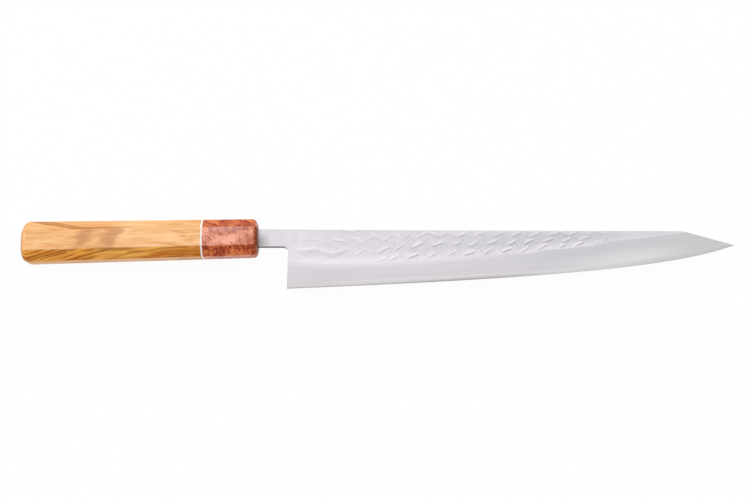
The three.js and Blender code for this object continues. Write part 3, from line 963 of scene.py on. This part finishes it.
SHEEN_UP = (0.002, 0.007)
burl_finish, burl_shader, place = new_finish("red_burl", specular_ior_level=0.22)
local = along_handle(place)
along, up, out = local.parts()
slanted = own_value(place, "slanted")
clouds = local.noise(BURL_CLOUD_SCALE, detail=3, roughness=0.55, distortion=0.8)
curls = local.noise(BURL_CURL_SCALE, detail=5, roughness=0.65, distortion=1.8)
threads = grain((along - up, along + up, out), BURL_THREADS, detail=3)
pores = local.noise(BURL_PORE_SCALE, detail=2)
from_eye = local.vector("SUBTRACT", PALE_EYE).vector("MULTIPLY", PALE_EYE_STRETCH)
eye = from_eye.vector("LENGTH", output="Value").step(1.0, 0.2)
figure = clouds * 0.52 + curls * 0.12 + threads * 0.28 + (pores - 0.5) * 0.34 + 0.04 + eye * 0.05
deep = layered(
    figure.ramp((0.42, BURL_DARK), (0.58, BURL_ORANGE), (0.50, BURL_RED)),
    (slanted * up.step(*DARK_CHAMFER_UP) * 0.22, BURL_DARK),
)
# The rounded front: painted sheen on its upper half and painted shadow beside the neck.
front = layered(
    BURL_FRONT,
    (up.step(*SHEEN_UP), BURL_SHEEN),
    (abs(up).step(*BESIDE_NECK), BURL_NECK_SHADOW),
)
mauve = up.step(*MAUVE_UP) * along.step(*MAUVE_BEHIND) * clouds.step(0.60, 0.45)
facing_front, _, _ = facing(place)
# The chamfers take the deeper burl: partly the grain cut at another angle, partly painted shade, beside
# flats kept pale as painted sheen.
burl = layered(
    figure.ramp((0.43, BURL_ROSE), (0.57, BURL_PALE)),
    (mauve * 0.7, BURL_MAUVE),
    (slanted, deep),
    (facing_front.step(0.40, 0.60), deep),
    (facing_front.step(0.60, 0.92) * 0.85, front),
)
burl.into(burl_shader, "Base Color")
curls.between(*BURL_ROUGHNESS).into(burl_shader, "Roughness")
threads.bump(*BURL_BUMP).into(burl_shader, "Normal")

neck_slot = slot_ring(NECK_HEIGHT + 2 * MOUTH_GAP, NECK_THICKNESS + 2 * MOUTH_GAP)
bore = round_ring(BORE_DIAMETER)
ferrule = handle_piece("burl_ferrule", [
    (FERRULE_LENGTH, octagon(FERRULE_LENGTH)),
    *reversed(dome(0.0, FERRULE_DOME_LENGTH, FERRULE_DOME_INSET)),
    (0.0, neck_slot), (FERRULE_FRONT_WALL, neck_slot),
    (FERRULE_FRONT_WALL, bore), (FERRULE_LENGTH, bore),
])
ferrule.data.materials.append(burl_finish)
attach(ferrule, "root")
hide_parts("ferrule")

# Spacer: a thin slice of ivory coloured resin glued between the ferrule and the body and sanded
# flush with both.
SPACER_THICKNESS = 0.0011
GLUE_LINE = 0.00005
SPACER_PALE = ((0.35, (0.90, 0.83, 0.76)), (0.65, (0.95, 0.90, 0.85)))
SPACER_CLOUD_SCALE = 420.0
SPACER_BUMP = (0.05, 0.0001)
spacer_finish, spacer_shader, place = new_finish("ivory_resin", roughness=0.42)
clouds = place.noise(SPACER_CLOUD_SCALE, detail=3)
clouds.ramp(*SPACER_PALE).into(spacer_shader, "Base Color")
clouds.bump(*SPACER_BUMP).into(spacer_shader, "Normal")

spacer_front = FERRULE_LENGTH + GLUE_LINE
spacer_back = spacer_front + SPACER_THICKNESS
spacer = handle_piece("resin_spacer", [
    (spacer_back, octagon(spacer_back)), (spacer_front, octagon(spacer_front)),
    (spacer_front, bore), (spacer_back, bore),
])
spacer.data.materials.append(spacer_finish)
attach(spacer, "root")
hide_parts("spacer")

# Handle body: the long octagonal grip of streaked olive wood, swelling slightly towards a rounded
# butt. It is bored for the dowel and glued on, then sanded with the ferrule and oiled.
BUTT_DOME_LENGTH = 0.0054
BUTT_DOME_INSET = 0.0066
BORE_END = 0.0913
FACET_HALF = 0.0052
LAYER_ALONG = 0.175
LAYER_TURN = -0.075
LAYER_FLATTENED = 0.6
LAYER_UP = -0.10
LAYER_OUT = -0.975
LAYER_SWAY = 0.0012
LAYER_FRAYING = 0.0008
LAYER_RIPPLE = 0.0026
CHAMFER_RIPPLE = 0.0010
# Each dark layer: where it starts, is full, fades and ends, and how much it shows on the flats and
# on the lower and upper chamfers.
DARK_LAYERS = (
    (-0.0293, -0.0289, -0.0285, -0.0281, 0.00, 0.00, 1.00),
    (-0.0288, -0.0285, -0.0271, -0.0263, 0.00, 0.00, 0.65),
    (-0.0285, -0.0282, -0.0280, -0.0276, 0.30, 0.95, 0.00),
    (-0.0286, -0.0277, -0.0273, -0.0259, 0.70, 0.35, 0.00),
    (-0.0263, -0.0246, -0.0241, -0.0233, 0.70, 0.30, 0.05),
    (-0.0241, -0.0238, -0.0236, -0.0232, 0.10, 0.85, 0.10),
    (-0.0200, -0.0197, -0.0194, -0.0188, 0.12, 0.50, 0.10),
    (-0.0157, -0.0154, -0.0152, -0.0147, 0.12, 0.50, 0.20),
    (-0.0100, -0.0094, -0.0080, -0.0068, 0.60, 0.60, 0.20),
    (-0.0030, -0.0022, -0.0020, -0.0012, 0.60, 0.80, 0.30),
)
# Each streak on a corner: its height, and where it starts, is full, fades and ends along the handle.
CORNER_STREAKS = (
    (0.0066, -0.114, -0.103, -0.092, -0.066),
    (-0.0066, -0.099, -0.090, -0.080, -0.066),
)
CORNER_STREAK_SIDE = (0.0011, 0.00033)
LOWER_SIDE = (0.002, -0.002)
UPPER_SIDE = (-0.002, 0.002)
STREAKS_FADE_LOW = (-0.0030, -0.0060)
CLEAN_FROM = (-0.092, -0.078)
CLEAN_UNTIL = (-0.046, -0.056)
VEINS_FROM = (-0.075, -0.050)
LINED_UNTIL = (-0.07, -0.10)
HONEY_UNTIL = (-0.075, -0.115)
GOLD_FROM = (-0.101, -0.092)
BROWN_FROM = (-0.0570, -0.0465)
BROWN_SLANT = 4.65
BROWN_BOTTOM = -0.0068
AGED_FROM = (-0.075, -0.055)
AGED_UNTIL = (-0.095, -0.115)
SWAY_SCALE = 48.0
BLOOM_SCALE = 85.0
RIPPLES = (60, 260, 260)
FIBRES = (26, 560, 560)
DASHES = (95, 880, 880)
GROWTH = (1100, 8, 16)
LINES = (14, 1050)
VEINS = (11, 330, 60)
VEIN_SLANT = 5 / 33
DRIFTS = (118, 15, 40)
DRIFT_SLANT = 55 / 118
OLIVE_PALE = (0.97, 0.56, 0.265)
OLIVE_HONEY = (0.86, 0.43, 0.17)
OLIVE_CREAM = (1.0, 0.62, 0.33)
OLIVE_GRAIN = (0.78, 0.36, 0.13)
OLIVE_AGED = (0.68, 0.345, 0.105)
OLIVE_TAUPE = (0.62, 0.290, 0.125)
OLIVE_GOLD = (1.0, 0.465, 0.080)
OLIVE_AMBER = (0.76, 0.248, 0.020)
OLIVE_TAN = (0.48, 0.195, 0.042)
OLIVE_STRAW = (1.0, 0.500, 0.105)
OLIVE_UMBER = (0.60, 0.165, 0.016)
OLIVE_BROWN = (0.36, 0.09, 0.004)
OLIVE_RIM_SHADE = (0.38, 0.165, 0.04)
OLIVE_ROUGHNESS = (0.36, 0.56)
OLIVE_BUMP = (0.08, 0.0001)
olive_finish, olive_shader, place = new_finish("streaked_olive_wood", specular_ior_level=0.18)
local = along_handle(place)
along, up, out = local.parts()
slanted = own_value(place, "slanted")
lower = slanted * up.step(*LOWER_SIDE)
upper = slanted * up.step(*UPPER_SIDE)
sway = local.noise(SWAY_SCALE, detail=2)
bloom = local.noise(BLOOM_SCALE, detail=2)
ripples = grain((along, up, out), RIPPLES, detail=3)
fibres = grain((along, up, out), FIBRES, detail=4, roughness=0.6)
dashes = grain((along, up, out), DASHES, detail=2)
veins = grain((along, up + along * VEIN_SLANT, out), VEINS, detail=3, distortion=0.7)
drifts = grain((up - along * DRIFT_SLANT, along, out), DRIFTS, detail=2)

# The layers of the wood, which lean a little in the block, and the dark ones among them.
bent = up.least(FACET_HALF).most(-FACET_HALF)
flattened = (along - LAYER_TURN).most(0.0) * LAYER_FLATTENED
layer = (along - flattened) * LAYER_ALONG + bent * LAYER_UP + out * LAYER_OUT
ragged = slanted.between(LAYER_RIPPLE, CHAMFER_RIPPLE)
layer = layer + (sway - 0.5) * LAYER_SWAY + (ripples - 0.5) * ragged + (fibres - 0.5) * LAYER_FRAYING
growth = grain((layer, along, up), GROWTH, detail=4, roughness=0.65)
lines = grain((along, layer), LINES, detail=2)
figure = growth * 0.30 + dashes * 0.28 + drifts * 0.42
faded_low = up.step(*STREAKS_FADE_LOW).between(1.0, 0.5)
dark = figure * 0
for start, full, fading, end, on_flats, on_lower, on_upper in DARK_LAYERS:
    shown = on_flats * faded_low + lower * (on_lower - on_flats) + upper * (on_upper - on_flats)
    dark = dark.most(layer.step(start, full) * layer.step(end, fading) * shown)
dark = dark * (0.40 + bloom + 0.4 * dashes)
corner = figure * 0
for middle, start, full, fading, end in CORNER_STREAKS:
    beside = abs(up - middle).step(*CORNER_STREAK_SIDE)
    corner = corner.most(beside * along.step(start, full) * along.step(end, fading))
corner = corner * fibres.between(0.5, 1.2)

# The pale wood of the flats and the upper chamfer, kept paler partly as painted sheen and painted light
# from above.
aged = 0.16 + 0.25 * along.step(*AGED_FROM) + 0.2 * along.step(*AGED_UNTIL)
pale = layered(
    figure.ramp((0.46, OLIVE_HONEY), (0.54, OLIVE_PALE)),
    (fibres.step(0.50, 0.66) * 0.60 + dashes.step(0.51, 0.62) * 0.70, OLIVE_GRAIN),
    (fibres.step(0.48, 0.34) * 0.60 + dashes.step(0.47, 0.36) * 0.70, OLIVE_CREAM),
    (along.step(*CLEAN_FROM) * along.step(*CLEAN_UNTIL) * 0.4, OLIVE_CREAM),
    (veins.step(0.52, 0.62) * along.step(*VEINS_FROM) * 0.85, OLIVE_GRAIN),
    (lines.step(0.50, 0.60) * upper * along.step(*LINED_UNTIL) * 0.5, OLIVE_AGED),
    (along.step(*HONEY_UNTIL) * 0.25, OLIVE_HONEY),
    (upper * aged, OLIVE_AGED),
)

# The deep golden wood of the lower chamfer, browned behind the spacer. Its depth is partly the wood's
# own colour and partly painted shade on the side turned from the light.
browned = (along - BROWN_SLANT * (up - BROWN_BOTTOM)).step(*BROWN_FROM)
towards_ferrule = along.step(*GOLD_FROM)
golden = towards_ferrule * (1 - browned)
scored = lines.step(0.49, 0.61) * bloom.step(0.36, 0.56) * (0.8 - 0.6 * golden - 0.5 * browned)
deep = layered(
    (growth * 0.6 + fibres * 0.4).ramp((0.40, OLIVE_AMBER), (0.58, OLIVE_GOLD)),
    (golden * 0.75, OLIVE_STRAW),
    (browned * (0.2 + 0.5 * fibres + 0.6 * growth), OLIVE_UMBER),
    (scored, OLIVE_BROWN),
    (towards_ferrule * dashes.step(0.50, 0.62) * 0.28, OLIVE_BROWN),
    (towards_ferrule * dashes.step(0.47, 0.36) * 0.45, OLIVE_STRAW),
)

# The whole of it, with deeper end grain, and a painted shade as a dark rim on the butt.
facing_front, _, _ = facing(place)
end_grain = (-facing_front).step(0.50, 1.0) * 0.9
wood = layered(
    pale,
    (lower.most(end_grain), deep),
    (dark, layered(OLIVE_TAUPE, (slanted, OLIVE_BROWN), (upper, OLIVE_TAN))),
    (corner, OLIVE_TAN),
    ((-facing_front).step(0.60, 0.92) * 0.8, OLIVE_RIM_SHADE),
)
wood.into(olive_shader, "Base Color")
fibres.between(*OLIVE_ROUGHNESS).into(olive_shader, "Roughness")
fibres.bump(*OLIVE_BUMP).into(olive_shader, "Normal")

body_front = spacer_back + GLUE_LINE
body = handle_piece("olive_handle_body", [
    *dome(HANDLE_LENGTH, -BUTT_DOME_LENGTH, BUTT_DOME_INSET),
    (body_front, octagon(body_front)), (body_front, bore), (BORE_END, bore),
], capped=True)
body.data.materials.append(olive_finish)
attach(body, "root")
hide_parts("handle_body")

# Floor: a plain white table top. It shows as white to the camera and in reflections, and still takes
# the knife's soft shadow.
FLOOR_SIZE = 40.0
FLOOR_WHITE = (0.95, 0.95, 0.95)
FLOOR_GLOW = 0.95
WHITE = (1.0, 1.0, 1.0)


def ray(field, kind):
    """1 for rays of one kind and 0 for all others."""
    return field.node("ShaderNodeLightPath", {}, "Is " + kind + " Ray")


floor_mesh = bpy.data.meshes.new("floor")
half = FLOOR_SIZE / 2
floor_corners = [(-half, -half, 0), (half, -half, 0), (half, half, 0), (-half, half, 0)]
floor_mesh.from_pydata(floor_corners, [], [(0, 1, 2, 3)])
floor = placed("floor", floor_mesh)
floor_finish, floor_shader, place = new_finish("white_table", base_color=FLOOR_WHITE, roughness=0.9)
floor_seen = ray(place, "Camera").most(ray(place, "Glossy")).most(ray(place, "Transmission"))
white = place.node("ShaderNodeEmission", {"Color": WHITE, "Strength": 1.0})
lit = Field(floor_shader.outputs["BSDF"])
surface = place.node("ShaderNodeMixShader", {0: floor_seen * FLOOR_GLOW, 1: lit, 2: white})
surface.into(floor_finish.node_tree.nodes["Material Output"], "Surface")
floor_mesh.materials.append(floor_finish)

# Light: a pale room, brighter on the side of the spine and dimmer past the tip and below the edge,
# with a bright band for the steel to mirror, and one large soft box that isn't mirrored. The room
# shows as white behind the knife, also where the steel mirrors its horizon.
ROOM_STRENGTH = 1.0
ROOM_RISE_TO_SPINE = 0.36
ROOM_FALL_TO_TIP = 0.55
ROOM_SHADE_BELOW_EDGE = 0.22
ROOM_SHADE_FROM = (-0.10, -0.55)
ROOM_LIMIT = 1.10
HORIZON = (0.50, 0.25)
BAND_RISE = (0.22, 0.42)
BAND_FALL = (0.78, 0.60)
BAND_STRENGTH = 0.22
SOFT_BOX_SIZE = (1.8, 1.1)
SOFT_BOX_CENTRE = Vector((-0.3, 0.8, 1.1))
SOFT_BOX_WATTS = 3.9
world = bpy.data.worlds.new("pale_room")
world.use_nodes = True
room = world.node_tree.nodes["Background"]
set_even(room.inputs["Color"], WHITE)
outwards = Field(world.node_tree.nodes.new("ShaderNodeTexCoord").outputs["Generated"])
towards_tip, towards_spine, upwards = outwards.parts()
shade = towards_spine.step(*ROOM_SHADE_FROM) * ROOM_SHADE_BELOW_EDGE
even = ROOM_STRENGTH + towards_spine * ROOM_RISE_TO_SPINE - towards_tip * ROOM_FALL_TO_TIP - shade
band = towards_spine.step(*BAND_RISE) * towards_spine.step(*BAND_FALL) * BAND_STRENGTH
brightness = even.least(ROOM_LIMIT) + band
mirrored = ray(outwards, "Glossy") * upwards.step(*HORIZON)
room_seen = ray(outwards, "Camera").most(ray(outwards, "Transmission")).most(mirrored)
room_seen.between(brightness, 1.0).into(room, "Strength")
bpy.context.scene.world = world
lamp = bpy.data.lights.new("soft_box", "AREA")
lamp.shape = "RECTANGLE"
lamp.size, lamp.size_y = SOFT_BOX_SIZE
lamp.energy = SOFT_BOX_WATTS
soft_box = placed("soft_box", lamp)
soft_box.location = SOFT_BOX_CENTRE
soft_box.rotation_euler = (heel - SOFT_BOX_CENTRE).to_track_quat("-Z", "Y").to_euler()
soft_box.visible_glossy = False

# Camera: looking down on the right face of the blade, leaning towards the edge, through a 50 mm lens.
# It aims at a point of the blade a little ahead of the heel.
CAMERA_LENS = 50
SENSOR_WIDTH = 36
CAMERA_DISTANCE = 0.629
CAMERA_LEAN = math.radians(12.6)
CAMERA_ROLL = 0.0034
AIM_AHEAD_OF_HEEL = 0.0527
AIM_BELOW_SPINE = 0.01217
right = Vector((math.cos(CAMERA_ROLL), math.sin(CAMERA_ROLL), 0))
level = Vector((-math.sin(CAMERA_ROLL), math.cos(CAMERA_ROLL), 0))
above = Vector((0, 0, 1))
back = above * math.cos(CAMERA_LEAN) - level * math.sin(CAMERA_LEAN)
top = level * math.cos(CAMERA_LEAN) + above * math.sin(CAMERA_LEAN)
lens = bpy.data.cameras.new("camera")
lens.lens = CAMERA_LENS
lens.sensor_width = SENSOR_WIDTH
camera = placed("camera", lens)
aim = heel + Vector((AIM_AHEAD_OF_HEEL, -AIM_BELOW_SPINE, 0))
camera.matrix_world = Matrix.LocRotScale(
    aim + back * CAMERA_DISTANCE, Matrix((right, top, back)).transposed(), None,
)
bpy.context.scene.camera = camera
bpy.context.scene.view_settings.view_transform = "Standard"
